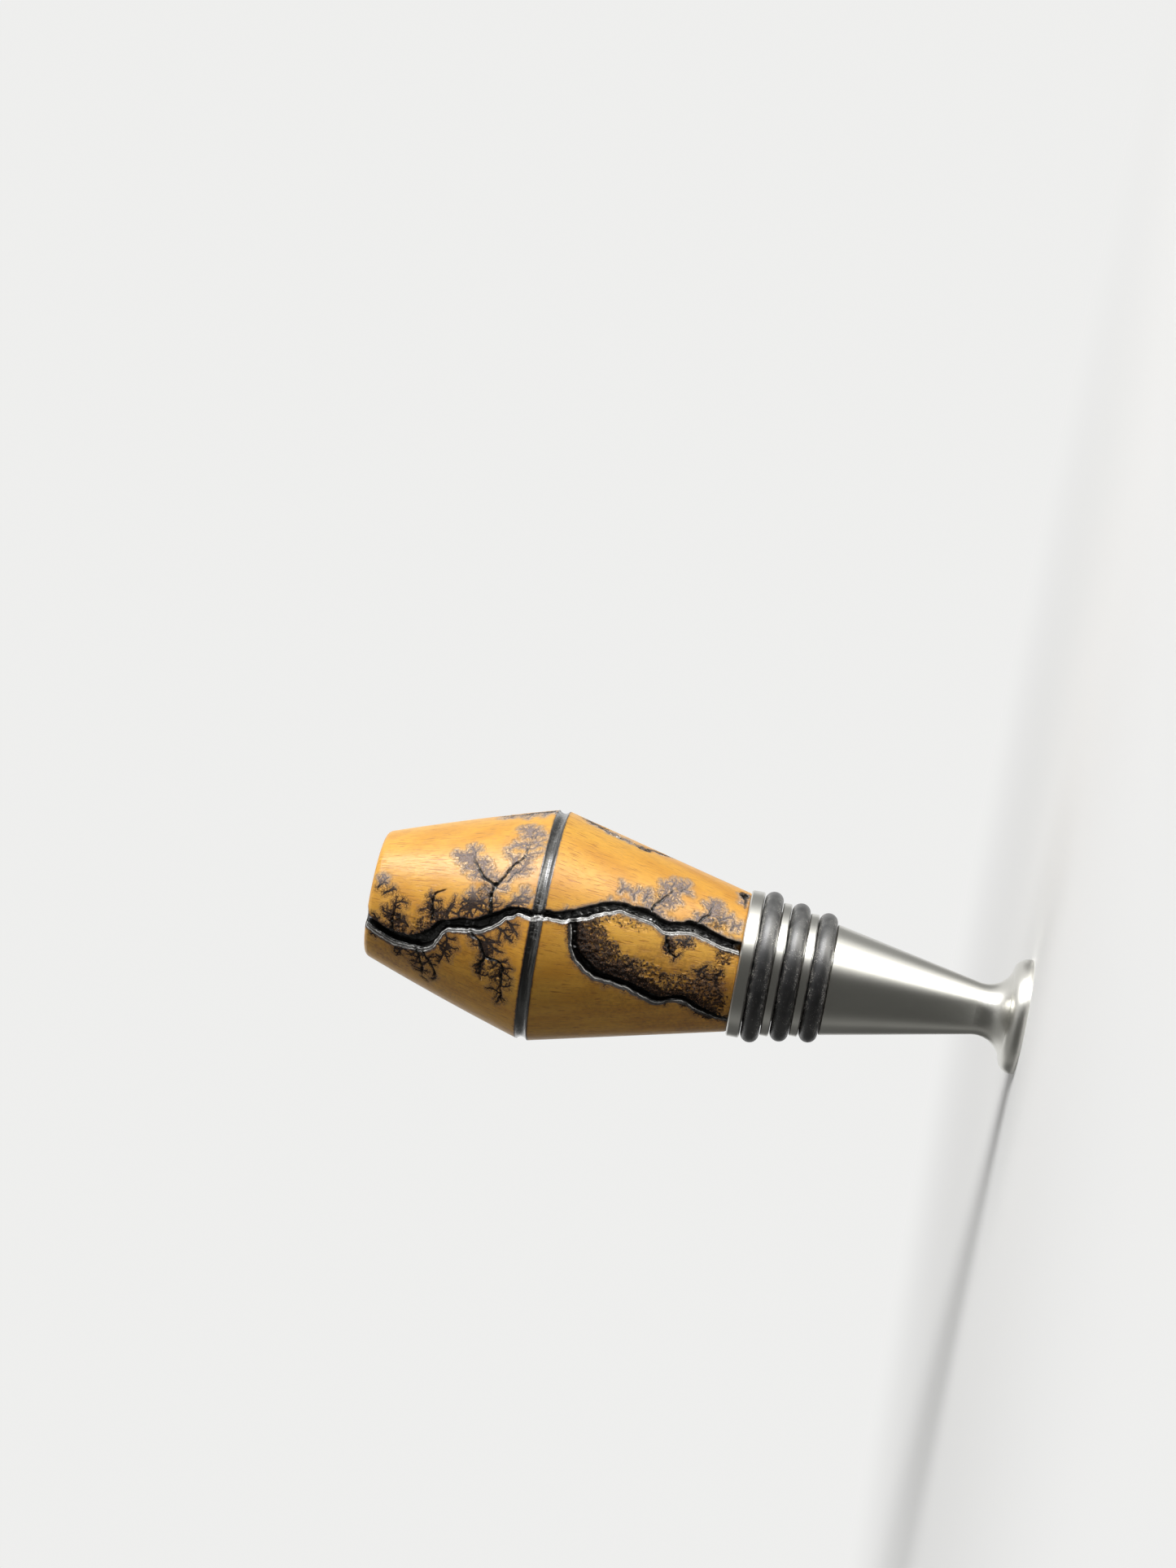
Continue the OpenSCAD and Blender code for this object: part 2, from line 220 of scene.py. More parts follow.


# burn marks traced, each point an angle, a height and a width
MAIN = [
    (-20, 101.5, 1.1), (-24.5, 98.5, 1.1), (-28, 95, 1.2), (-29, 91, 1.35), (-27.5, 87, 1.5),
    (-24.5, 83.5, 1.65), (-17.5, 81.3, 1.5), (-11.5, 79.8, 1.15), (-7.5, 77.5, 1.1),
    (-5.5, 74, 1.15), (-4, 70.5, 1.15), (-0.5, 66.8, 1.25), (3.5, 64, 0.95), (7, 61, 0.85),
    (8, 58, 0.75), (7.5, 55.5, 0.7), (8, 52, 0.7), (9, 48.5, 0.8), (11, 45, 1.0),
    (14.5, 41.5, 1.0), (18, 38, 1.0), (21, 34.5, 1.0), (22, 32, 1.0), (22, 27, 1.05),
    (20.5, 24, 1.05), (18.5, 21.5, 1.05), (17.5, 19.5, 1.1), (19.5, 16.5, 1.05),
    (21.5, 14, 1.1), (20.5, 10.5, 1.05), (18.5, 7.5, 1.05), (16.5, 4, 1.05), (16, 1, 1.0),
    (15.5, -1.5, 1.0),
]
LOOP = [
    (10, 44.5, 0.5), (4, 43.5, 0.6), (-2, 43, 0.65), (-8, 42, 0.7), (-14, 39, 0.75),
    (-18.5, 36, 0.8), (-20.5, 32.5, 0.75), (-22.5, 29, 0.75), (-25, 26, 0.75),
    (-29, 22.5, 0.75), (-32, 20, 0.75), (-32, 17, 0.7), (-30, 14, 0.65), (-34, 11, 0.6),
    (-38.5, 8.5, 0.6), (-44, 5.5, 0.5), (-49, 2.5, 0.5), (-52, -1.5, 0.5),
]
SIDE = [
    (91, 48.5, 0.2), (86, 45.5, 0.3), (80, 42, 0.4), (78.5, 38, 0.45), (78.5, 34.5, 0.45),
    (76, 31.5, 0.35), (82, 28, 0.3), (86, 25.5, 0.4), (90, 23, 0.25),
]
SIDE_UP = [(91, 55.5, 0.4), (88, 58.5, 0.4), (85, 61.5, 0.4), (80, 64.5, 0.3), (83, 69, 0.2)]
COLLAR_BURN = [(52, 1.0, 0.15), (64, 1.3, 0.3), (71, 2.2, 0.6), (76, 1.0, 0.6)]
BRANCHES = [
    [(-2, 67, 0.4), (3, 66.5, 0.4), (9, 67, 0.4), (15, 67, 0.43), (20, 66.5, 0.49)],
    [(19, 66.5, 0.28), (23, 69.5, 0.26), (29, 72, 0.20), (35.5, 74, 0.13), (39, 74.5, 0.06)],
    [(19, 66.5, 0.28), (24, 65, 0.26), (29.5, 63.5, 0.22), (38.5, 60.5, 0.18), (48, 60, 0.12),
     (58.5, 60, 0.04)],
    [(-5, 72, 0.33), (-9, 70.5, 0.33), (-12, 68.5, 0.3), (-17, 67, 0.3), (-21, 66, 0.3),
     (-21, 63, 0.23), (-22.5, 60.5, 0.23), (-31, 60.5, 0.2), (-42, 60, 0.1)],
    [(-21, 66, 0.2), (-28, 67, 0.2), (-35, 66, 0.1)],
    [(-28, 86, 0.26), (-33, 85, 0.23), (-40, 83.5, 0.23), (-46, 82.5, 0.17), (-56.5, 82.5, 0.1)],
    [(-28, 83, 0.23), (-35.5, 82, 0.23), (-40.5, 80, 0.23), (-44.5, 79, 0.17), (-51.5, 78.5, 0.1)],
    [(20, 21, 0.3), (14, 20, 0.3), (7, 19.5, 0.26), (1, 18, 0.2), (-2, 16.5, 0.1)],
    [(22, 25, 0.20), (24, 25, 0.22), (30.5, 24, 0.20), (35, 22.5, 0.17), (43, 20.5, 0.11),
     (50, 18, 0.04)],
    [(22, 12.5, 0.20), (24, 12.5, 0.22), (30, 11, 0.20), (35, 10, 0.16), (47, 9, 0.04)],
    [(-8, 82, 0.2), (-3, 82, 0.26), (3.5, 82.5, 0.23), (9.5, 82, 0.17), (13.5, 79.5, 0.1)],
    [(-26, 92.5, 0.26), (-20, 92.5, 0.24), (-11, 92.5, 0.13), (0.5, 92, 0.02)],
]
# path, length of its side twigs in mm, and how many twigs a millimetre carries
FRINGES = [
    (MAIN[1:11], 1.5, 2.0), (MAIN[11:18], 1.1, 1.6), (MAIN[17:34], 1.2, 1.7),
    (LOOP, 1.2, 2.0), (SIDE, 1.4, 2.0), (SIDE_UP, 1.5, 2.0), (COLLAR_BURN, 0.9, 2.0),
    (BRANCHES[0], 2.2, 2.2), (BRANCHES[1], 2.6, 2.4), (BRANCHES[2], 2.9, 2.4),
    (BRANCHES[3], 2.4, 2.2), (BRANCHES[4], 1.8, 2.2), (BRANCHES[5], 1.9, 2.2),
    (BRANCHES[6], 1.9, 2.2), (BRANCHES[7], 1.1, 2.0), (BRANCHES[8], 2.3, 2.2),
    (BRANCHES[9], 2.3, 2.4), (BRANCHES[10], 2.0, 2.2), (BRANCHES[11], 2.0, 2.2),
]
# small free trees: angle, height, growing direction (degrees from up towards +angle), length
TUFTS = [
    (-12, 91, 20, 3.0), (-17, 88, 60, 2.6), (-9, 80, 75, 3.2), (-4, 77.5, 80, 3.0),
    (-2, 74.5, 70, 3.0), (0, 71, 60, 3.0), (4, 68.5, 40, 3.6), (8, 68, 30, 3.8),
    (-20, 79.5, -120, 3.0), (-14, 77.5, -100, 3.4), (-8, 73, -110, 2.6), (-24, 78, -100, 3.0),
    (-33, 91, -100, 2.2), (-34, 88.5, -90, 2.4), (-9, 68.5, 185, 4.2), (-12, 67.5, 195, 3.8),
    (-3, 63.5, 200, 3.0), (1, 61.5, 190, 2.6), (9, 62.5, 160, 2.8), (11, 61, 150, 2.6),
    (14, 60, 120, 2.2), (22, 63.5, 150, 2.6), (27, 62.5, 140, 3.0), (36, 73.5, 60, 2.6),
    (38, 75.5, 20, 2.6), (45, 60.5, 40, 3.0), (50, 59, 110, 3.0), (30, 34, 100, 2.0),
    (28, 30, 90, 2.0), (29, 27.5, 90, 2.2), (42, 21, 60, 3.0), (45, 18.5, 120, 3.0),
    (34, 9.5, 60, 2.8), (32, 7, 120, 2.6), (27, 3.5, 100, 2.2), (12, 14, -60, 1.6),
    (10, 17, 170, 1.8), (-8, 27, -40, 2.4), (-14, 25, -50, 2.4), (-4, 8, -30, 2.2),
    (-6, 4, -60, 2.2), (-14, 6, -40, 2.2), (8, 98, 100, 2.2), (4, 96, 110, 1.8),
    (-24, 96, 60, 2.0), (-30, 97, -70, 1.6), (84, 46, -120, 1.6), (86, 26, -60, 1.4),
    (84, 62, -80, 3.6), (86, 59, -100, 4.2), (88, 56.5, -90, 3.6), (82, 65, -40, 3.0),
]
# crusty, speckled places: angle, height, half sizes in mm across and along, strength
PATCHES = [
    (15, 69, 1.6, 1.2, 0.50), (-14, 83.5, 2.2, 1.8, 0.55), (-18, 91, 2.0, 1.8, 0.55),
    (-6, 79.5, 1.8, 1.6, 0.50), (-30, 94, 1.2, 1.4, 0.5),
    (34, 22.5, 1.4, 1.6, 0.42), (30, 8, 1.4, 2.2, 0.5),
    (5, 43.4, 1.4, 1.2, 1.1), (1, 42.6, 1.5, 1.3, 1.2), (-4, 41.8, 1.6, 1.4, 1.2),
    (-8, 40.6, 1.7, 1.5, 1.2), (-12, 38.4, 1.6, 1.7, 1.2), (-15.5, 35.5, 1.5, 1.8, 1.15),
    (-17.5, 32, 1.3, 1.8, 1.1), (-19.5, 28.5, 1.2, 1.8, 1.0), (-22, 25, 1.2, 1.8, 0.95),
    (-26, 21.5, 1.2, 1.8, 0.9), (-29, 18, 1.1, 1.8, 0.85), (-28, 14.5, 1.2, 1.6, 0.8),
    (-32, 11, 1.4, 1.6, 0.8), (-38, 7.5, 1.6, 1.4, 0.8), (-44, 5, 1.6, 1.2, 0.8),
    (6, 40, 2.4, 1.6, 0.66), (0, 38, 3.0, 2.0, 0.66), (-7, 35, 2.6, 2.6, 0.66),
    (-12, 30, 2.0, 3.0, 0.56), (-15, 24.5, 2.2, 3.0, 0.54), (-20, 19.5, 2.0, 2.8, 0.54),
    (-20, 14, 2.4, 2.6, 0.52), (-24, 9, 2.6, 2.4, 0.54), (-12, 6, 2.6, 2.2, 0.46),
    (-34, 4, 3.0, 1.8, 0.56), (10, 14, 1.2, 1.4, 0.54), (6, 4, 1.8, 1.6, 0.52),
    (4, 18.5, 1.0, 1.2, 0.7), (14, 30, 1.2, 4.0, 0.42), (14, 38, 1.4, 2.0, 0.5),
    (85, 45, 0.9, 2.2, 0.85), (77, 30.5, 1.0, 1.2, 0.75), (86, 25.5, 0.8, 1.0, 0.9),
    (86, 60, 1.4, 3.0, 0.75), (88, 68, 1.2, 2.0, 0.55), (72, 1.8, 1.1, 0.8, 0.95),
    (-8, 75, 1.2, 2.0, 0.4), (-30, 61.5, 1.8, 1.6, 0.45), (-22, 65.5, 1.6, 1.6, 0.5),
]
# places where the whole wood is browned: angle, height, half sizes in mm, strength. The last six, on
# the side away from +X, are painted shade; the others are toasting
TOASTED_AND_SHADED = [
    (2, 30, 5.0, 7.0, 0.14), (4, 12, 4.6, 7.0, 0.20), (-12, 20, 4.0, 7.0, 0.36),
    (-26, 8, 4.0, 4.5, 0.60), (-4, 40, 3.4, 2.6, 0.60), (-16, 33, 2.6, 4.0, 0.62),
    (-14, 70, 3.2, 4.6, 0.38), (-2, 62, 2.6, 3.4, 0.34), (-22, 75, 2.8, 4.4, 0.34),
    (-36, 90, 2.4, 3.4, 0.42), (-16, 89, 2.4, 2.6, 0.36), (-8, 84, 2.4, 2.6, 0.34),
    (-36, 32, 4.0, 5.0, 0.30), (-48, 18, 4.4, 6.0, 0.36), (-60, 7, 4.0, 5.0, 0.42),
    (-48, 91, 3.0, 4.6, 0.46), (-52, 78, 4.0, 5.4, 0.32), (-42, 64, 4.4, 5.0, 0.30),
]


# drawing on the wood
def radius_at(percent):
    return float(wood_r(WOOD_Z + np.clip(percent, 0, 100) / 100 * HEAD))


def walk(angle, percent, heading, length):
    """The point a length in mm further on; heading 0 is up, 90 towards +angle."""
    dx = length * math.sin(math.radians(heading))
    dz = length * math.cos(math.radians(heading))
    return (angle + math.degrees(dx / radius_at(percent)), percent + dz / HEAD * 100 * CLIMB)


def heading_between(p, q):
    """Heading and length in mm of the way from p to q."""
    dx = math.radians(q[0] - p[0]) * radius_at(p[1])
    dz = (q[1] - p[1]) / 100 * HEAD
    return math.degrees(math.atan2(dx, dz)), math.hypot(dx, dz)


def on_wood(angle, percent):
    """The point on the turned surface; heights above 100 run inwards over the flat top."""
    z = WOOD_Z + np.clip(percent, None, 100) / 100 * HEAD
    r = radius_at(percent) - max(0.0, percent - 100) / 100 * HEAD
    a = math.radians(angle)
    return np.array([r * math.sin(a), -r * math.cos(a), z])


def smooth_path(points, step, rng, wobble):
    """Listed points to a fine line: a Catmull-Rom curve with a little wander."""
    pts = np.array(points, float)
    ext = np.vstack([2 * pts[0] - pts[1], pts, 2 * pts[-1] - pts[-2]])
    out = []
    for i in range(1, len(ext) - 2):
        p0, p1, p2, p3 = ext[i - 1 : i + 3]
        n = max(1, int(heading_between(p1, p2)[1] / step))
        for t in np.arange(n) / n:
            out.append(
                0.5 * (2 * p1 + (p2 - p0) * t + (2 * p0 - 5 * p1 + 4 * p2 - p3) * t * t
                       + (3 * p1 - p0 - 3 * p2 + p3) * t**3)
            )
    out.append(pts[-1])
    out = np.array(out)
    noise = rng.normal(0, 1, (len(out), 3))
    kernel = np.array([0.25, 0.5, 0.25])
    for k in range(3):
        noise[:, k] = np.convolve(noise[:, k], kernel, "same")
    # the wander in degrees, in percent of the height and as a share of the width
    out[:, 0] += noise[:, 0] * wobble * 4.0
    out[:, 1] += noise[:, 1] * wobble * 1.6
    out[:, 2] *= 1 + noise[:, 2] * 0.16
    return out


def grow(rng, at, heading, length, width, level, out):
    """One burned twig with its own twigs, as short straight bits."""
    bits = max(2, int(length / TWIG_STEP))
    for i in range(bits):
        heading += rng.normal(0, WANDER)
        nxt = walk(at[0], at[1], heading, TWIG_STEP)
        share = 1 - 0.75 * i / bits
        out.append((at, nxt, width * share, level))
        at = nxt
        if level < len(FORK_CHANCE) and rng.random() < FORK_CHANCE[level]:
            side = rng.choice([-1, 1])
            turn = side * rng.uniform(*FORK_ANGLE)
            rest = (length - i * TWIG_STEP) * rng.uniform(0.4, 0.8)
            if rest > 0.4:
                grow(rng, at, heading + turn, rest, width * share * 0.8, level + 1, out)


def fringe(rng, path, length, per_mm, out):
    """Side twigs at random places along a path."""
    for p, q in zip(path[:-1], path[1:]):
        heading, gap = heading_between(p, q)
        for _ in range(int(rng.poisson(gap * per_mm))):
            t = rng.random()
            at = (p[0] + (q[0] - p[0]) * t, p[1] + (q[1] - p[1]) * t)
            side = rng.choice([-1, 1])
            grow(rng, at, heading + side * rng.uniform(35, 80),
                 length * rng.uniform(0.35, 1.1), FRINGE_WIDTH, 1, out)


def value_noise(u, v, cell, rng):
    """Smooth random values, 0 to 1, over two coordinates in mm."""
    u, v = (u - u.min()) / cell, (v - v.min()) / cell
    table = rng.random((int(u.max()) + 3, int(v.max()) + 3))
    i, j = u.astype(int), v.astype(int)
    s, t = u - i, v - j
    s, t = s * s * (3 - 2 * s), t * t * (3 - 2 * t)
    low = table[i, j] * (1 - s) + table[i + 1, j] * s
    high = table[i, j + 1] * (1 - s) + table[i + 1, j + 1] * s
    return low * (1 - t) + high * t


class Canvas:
    """Fields over the head's grid of points.

    deep is in mm, and over is the distance in mm past a channel's lower edge. The others run from 0 to
    about 1: rim is how strongly that edge is lipped, char the black of the channels, twig the burned
    twigs, fuzz the lace round them, scorch the brown halo and the patches of painted shade, crust
    rough char."""

    def __init__(self, rows, columns):
        self.row_z = np.array([r[1] for r in rows])
        self.columns = columns
        r = np.array([r[0] for r in rows])[:, None]
        a = np.radians(columns)[None, :]
        shape = np.broadcast_shapes(r.shape, a.shape)
        z = np.broadcast_to(self.row_z[:, None], shape)
        self.p = np.stack([r * np.sin(a), -r * np.cos(a), z], -1)
        self.deep, self.rim, self.char = np.zeros(shape), np.zeros(shape), np.zeros(shape)
        self.over = np.full(shape, FAR_OVER)
        self.twig, self.fuzz = np.zeros(shape), np.zeros(shape)
        self.scorch, self.crust = np.zeros(shape), np.zeros(shape)
        kinds = np.array([r[2] for r in rows])
        # the rows after these are hidden, and no mark is drawn on them
        self.seen_rows = int(np.nonzero(kinds)[0][-1]) + 1

    def window(self, points, reach):
        """The part of the grid that lies within reach of the points, or None."""
        zs = [p[2] for p in points]
        height = self.row_z[: self.seen_rows]
        rows = np.nonzero((height > min(zs) - reach) & (height < max(zs) + reach))[0]
        angles = [math.degrees(math.atan2(p[0], -p[1])) for p in points]
        least = max(4.0, min(math.hypot(p[0], p[1]) for p in points))
        spare = math.degrees(reach / least) + 1
        near = (self.columns > min(angles) - spare) & (self.columns < max(angles) + spare)
        cols = np.nonzero(near)[0]
        if not len(rows) or not len(cols):
            return None
        return slice(rows[0], rows[-1] + 1), slice(cols[0], cols[-1] + 1)

    def distance(self, w, a, b):
        """Distance to the line from a to b, and how far along it the nearest point lies."""
        v = b - a
        d = self.p[w] - a
        t = np.clip((d @ v) / max(float(v @ v), 1e-9), 0, 1)
        return np.linalg.norm(d - t[..., None] * v, axis=-1), t

    def raise_to(self, name, w, value):
        field = getattr(self, name)
        field[w] = np.maximum(field[w], value)

    def channel(self, line, lipped):
        """Sinks a line into the wood. lipped is how strongly its lower edge, the one towards smaller
        angles, gets a sloping shoulder and beads, whose bright colour is a painted highlight."""
        shape = self.deep.shape
        near, wide, side = np.full(shape, FAR_AWAY), np.zeros(shape), np.zeros(shape)
        pts = [on_wood(p[0], p[1]) for p in line]
        for a, b, p, q in zip(pts[:-1], pts[1:], line[:-1], line[1:]):
            w = self.window((a, b), CHANNEL_REACH)
            if w is None:
                continue
            d, t = self.distance(w, a, b)
            closer = d < near[w]
            outward = a * (1, 1, 0) / max(math.hypot(a[0], a[1]), 1e-9)
            offset = np.cross(self.p[w] - a, b - a) @ outward / max(np.linalg.norm(b - a), 1e-9)
            near[w] = np.where(closer, d, near[w])
            wide[w] = np.where(closer, p[2] + (q[2] - p[2]) * t, wide[w])
            side[w] = np.where(closer, offset, side[w])
        half = np.maximum(CHANNEL_W * wide / 2, 0.02)
        over = near - half
        lower = np.clip(0.5 + side / 0.3, 0, 1)
        x = np.clip((near / half - WALL_START) / (1 - WALL_START), 0, 1)
        deep = CHANNEL_D * np.minimum(1.2, 0.1 + 0.95 * wide)
        share = lipped * lower * np.minimum(1, wide * 1.2)
        shoulder = SHOULDER_D * share * np.clip(1 - over / SHOULDER_W, 0, 1)
        glow = np.minimum(1, 0.3 + 0.6 * wide)
        everywhere = slice(None)
        walls = deep * (1 - x * x * (3 - 2 * x))
        self.raise_to("deep", everywhere, np.maximum(walls, shoulder))
        rim = share * np.clip(1.6 - np.abs(over - 0.3) / 0.5, 0, 1)
        signed = np.where(side < 0, -near, near) - half
        self.over = np.where(rim > self.rim, signed, self.over)
        self.rim = np.maximum(self.rim, rim)
        black = np.clip(0.5 - (over - 0.03 - 0.55 * share) / 0.13, 0, 1)
        beyond = np.maximum(over - 0.5 * share, 0)
        self.raise_to("char", everywhere, black * np.minimum(1, wide * 5))
        self.raise_to("scorch", everywhere, glow * np.exp(-beyond / 0.45))
        self.raise_to("fuzz", everywhere, 0.5 * glow * np.exp(-beyond / 0.35))

    def bit(self, a, b, width, level):
        """A short straight bit of a twig."""
        a, b = on_wood(*a), on_wood(*b)
        if max(a[2], b[2]) > TOP_Z - 0.2 or min(a[2], b[2]) < WOOD_Z + 0.1:
            return
        w = self.window((a, b), TWIG_REACH)
        if w is None:
            return
        d, _ = self.distance(w, a, b)
        dark = LEVEL_DARK[level]
        self.raise_to("twig", w, dark * np.clip(1 - (d - width / 2) / 0.13, 0, 1))
        self.raise_to("fuzz", w, dark * np.exp(-np.maximum(d - width / 2, 0) / 0.34))
        self.raise_to("scorch", w, 0.45 * dark * np.exp(-d / 0.45))

    def patch(self, name, angle, percent, across, along, strength):
        """A soft oval of a field."""
        c = on_wood(angle, percent)
        w = self.window((c,), max(across, along) * 1.6)
        if w is None:
            return
        d = self.p[w] - c
        a = math.radians(angle)
        u = d @ np.array([math.cos(a), math.sin(a), 0])
        x = np.sqrt((u / across) ** 2 + (d[..., 2] / along) ** 2)
        fade = np.clip(1.5 - x, 0, 1)
        self.raise_to(name, w, strength * fade * fade * (3 - 2 * fade))


# node helpers
class Nodes:
    """Short calls for building a material's nodes."""

    def __init__(self, name):
        self.material = bpy.data.materials.new(name)
        self.material.use_nodes = True
        self.tree = self.material.node_tree
        self.tree.nodes.clear()
        self.out = self.tree.nodes.new("ShaderNodeOutputMaterial")
        self.shader = self.tree.nodes.new("ShaderNodeBsdfPrincipled")
        self.link(self.shader.outputs[0], self.out.inputs[0])

    def link(self, a, b):
        self.tree.links.new(a, b)

    def put(self, socket, value):
        if isinstance(value, bpy.types.NodeSocket):
            self.link(value, socket)
        else:
            socket.default_value = value

    def set(self, **values):
        """Sets or links inputs of the shader."""
        names = {
            "color": "Base Color", "rough": "Roughness", "metal": "Metallic", "coat": "Coat Weight",
            "coat_rough": "Coat Roughness", "normal": "Normal", "aniso": "Anisotropic",
            "specular": "Specular IOR Level", "tangent": "Tangent", "coat_normal": "Coat Normal",
            "aniso_turn": "Anisotropic Rotation",
        }
        for k, v in values.items():
            self.put(self.shader.inputs[names[k]], v)

    def coords(self, x, y, z):
        """Object position in metres times a scale for each axis."""
        tex = self.tree.nodes.new("ShaderNodeTexCoord")
        return self.stretched(tex.outputs["Object"], x, y, z)

    def stretched(self, at, x, y, z):
        n = self.tree.nodes.new("ShaderNodeMapping")
        n.inputs["Scale"].default_value = (x, y, z)
        self.link(at, n.inputs[0])
        return n.outputs[0]

    def in_mm(self):
        return self.coords(1 / MM, 1 / MM, 1 / MM)

    def split(self, vector):
        n = self.tree.nodes.new("ShaderNodeSeparateXYZ")
        self.link(vector, n.inputs[0])
        return n.outputs

    def join(self, x, y, z):
        n = self.tree.nodes.new("ShaderNodeCombineXYZ")
        for s, v in zip(n.inputs, (x, y, z)):
            self.put(s, v)
        return n.outputs[0]

    def noise(self, at, scale=1.0, detail=2.0, rough=0.5):
        n = self.tree.nodes.new("ShaderNodeTexNoise")
        self.put(n.inputs["Vector"], at)
        n.inputs["Scale"].default_value = scale
        n.inputs["Detail"].default_value = detail
        n.inputs["Roughness"].default_value = rough
        return n.outputs["Fac"]

    def rings(self, z, per_mm, detail, rough=0.5):
        """Noise that only changes along the turning axis."""
        return self.noise(self.join(0.0, 0.0, self.times(z, per_mm)), 1.0, detail, rough)

    def cell_edges(self, at, scale):
        """Distance to the nearest edge between random cells."""
        n = self.tree.nodes.new("ShaderNodeTexVoronoi")
        n.feature = "DISTANCE_TO_EDGE"
        self.put(n.inputs["Vector"], at)
        n.inputs["Scale"].default_value = scale
        return n.outputs["Distance"]

    def math(self, op, a, b=0.0):
        n = self.tree.nodes.new("ShaderNodeMath")
        n.operation = op
        self.put(n.inputs[0], a)
        self.put(n.inputs[1], b)
        return n.outputs[0]

    def plus(self, a, b):
        return self.math("ADD", a, b)

    def minus(self, a, b):
        return self.math("SUBTRACT", a, b)

    def times(self, a, b):
        return self.math("MULTIPLY", a, b)

    def most(self, a, b):
        return self.math("MAXIMUM", a, b)

    def swing(self, noise, by):
        """The noise, centred on 0 and scaled."""
        return self.times(self.minus(noise, 0.5), by)

    def length(self, x, y):
        return self.math("SQRT", self.plus(self.times(x, x), self.times(y, y)))

    def ramp(self, value, low, high, to_low=0.0, to_high=1.0):
        """A smooth step from to_low to to_high while the value goes from low to high."""
        n = self.tree.nodes.new("ShaderNodeMapRange")
        n.interpolation_type = "SMOOTHSTEP"
        names = ("Value", "From Min", "From Max", "To Min", "To Max")
        for s, v in zip(names, (value, low, high, to_low, to_high)):
            self.put(n.inputs[s], v)
        return n.outputs["Result"]

    def mix(self, share, a, b):
        n = self.tree.nodes.new("ShaderNodeMix")
        n.data_type = "RGBA"
        self.put(n.inputs["Factor"], share)
        self.put(n.inputs["A"], a)
        self.put(n.inputs["B"], b)
        return n.outputs["Result"]

    def warp(self, at, scale, reach):
        """Coordinates pushed about by coloured noise."""
        n = self.tree.nodes.new("ShaderNodeTexNoise")
        self.put(n.inputs["Vector"], at)
        n.inputs["Scale"].default_value = scale
        push = self.tree.nodes.new("ShaderNodeVectorMath")
        push.operation = "MULTIPLY_ADD"
        self.link(n.outputs["Color"], push.inputs[0])
        push.inputs[1].default_value = (reach * 2, reach * 2, reach * 2)
        self.link(at, push.inputs[2])
        return push.outputs[0]

    def bead(self, value, middle):
        """1 where a distance in mm lies within a thin line round the middle, else 0."""
        off = self.math("ABSOLUTE", self.minus(value, middle))
        return self.ramp(off, BEAD_W * 0.25, BEAD_W * 0.75, 1.0, 0.0)

    def attribute(self, name):
        n = self.tree.nodes.new("ShaderNodeAttribute")
        n.attribute_name = name
        return n.outputs["Fac"]

    def bump(self, height, depth, strength, normal=None):
        """Bump with its depth in mm, on top of an earlier bump if there is one."""
        n = self.tree.nodes.new("ShaderNodeBump")
        self.put(n.inputs["Height"], height)
        n.inputs["Distance"].default_value = depth * MM
        n.inputs["Strength"].default_value = strength
        if normal is not None:
            self.link(normal, n.inputs["Normal"])
        return n.outputs[0]


def rgb(r, g, b):
    return (r, g, b, 1.0)


# colours of the plain wood, and the middle of its growth rings, in mm beside the axis
EARLY_WOOD = rgb(0.700, 0.345, 0.042)
LATE_WOOD = rgb(0.610, 0.278, 0.028)
PALE_WOOD = rgb(0.750, 0.400, 0.058)
FIBRE = rgb(0.50, 0.225, 0.024)
MOTTLE = rgb(0.48, 0.200, 0.020)
RAY = rgb(0.36, 0.132, 0.013)
THIN_RAY = rgb(0.38, 0.148, 0.016)
PITH = (-11.0, 19.0)
# colours of the burns. The pairs: lace where it is thin and where it is dense; ash specks and twigs on
# the brown side and on the +X side, where their pale tones are painted sheen and painted glints;
# crumbs from dark to light; and the belly groove's streaks of painted highlight from dark to light
# browns of the toasted wood, also used for the patches of painted shade
TOAST_AND_SHADE = rgb(0.165, 0.052, 0.009)
DARK_TOAST_AND_SHADE = rgb(0.020, 0.010, 0.006)
# painted sheen: a pale cream haze on the +X side
PAINTED_SHEEN_HAZE = rgb(0.75, 0.53, 0.33)
BROWN_LACE = (rgb(0.120, 0.054, 0.030), rgb(0.034, 0.017, 0.011))
# painted sheen: the lace's pale tone on the +X side
PAINTED_SHEEN_LACE = rgb(0.480, 0.370, 0.315)
# ash specks on the brown side, painted glints on the +X side
ASH_AND_PAINTED_GLINT = (rgb(0.34, 0.19, 0.11), rgb(0.80, 0.74, 0.70))
# twigs on the brown side, and paler twigs of painted sheen on the +X side
TWIG_AND_PAINTED_SHEEN = (rgb(0.034, 0.019, 0.013), rgb(0.240, 0.175, 0.150))
STEM = rgb(0.018, 0.013, 0.011)
CRUMB = (rgb(0.014, 0.009, 0.007), rgb(0.300, 0.150, 0.075))
CHAR = rgb(0.006, 0.0055, 0.005)
# painted highlight: grey streaks on the belly groove's lower wall, dark to light
PAINTED_GROOVE_HIGHLIGHT = (rgb(0.008, 0.008, 0.008), rgb(0.110, 0.107, 0.100))
# painted highlight: the beads' bright lines, and painted reflection in the darker grey between them
PAINTED_BEAD_HIGHLIGHT = rgb(0.66, 0.65, 0.62)
BETWEEN_BEADS = rgb(0.075, 0.070, 0.066)
# colours of the metal and the rubber
STEEL = (rgb(0.74, 0.73, 0.685), rgb(0.67, 0.66, 0.62))
RUBBER = (rgb(0.006, 0.006, 0.007), rgb(0.014, 0.014, 0.015))
# painted sheen: a grey film on the +X side of the rubber
PAINTED_SHEEN_FILM = rgb(0.105, 0.105, 0.102)
DUST = rgb(0.50, 0.48, 0.44)

# the fields that the skins carry as attributes
FIELDS = ("char", "twig", "fuzz", "scorch", "crust", "rim", "over", "groove")


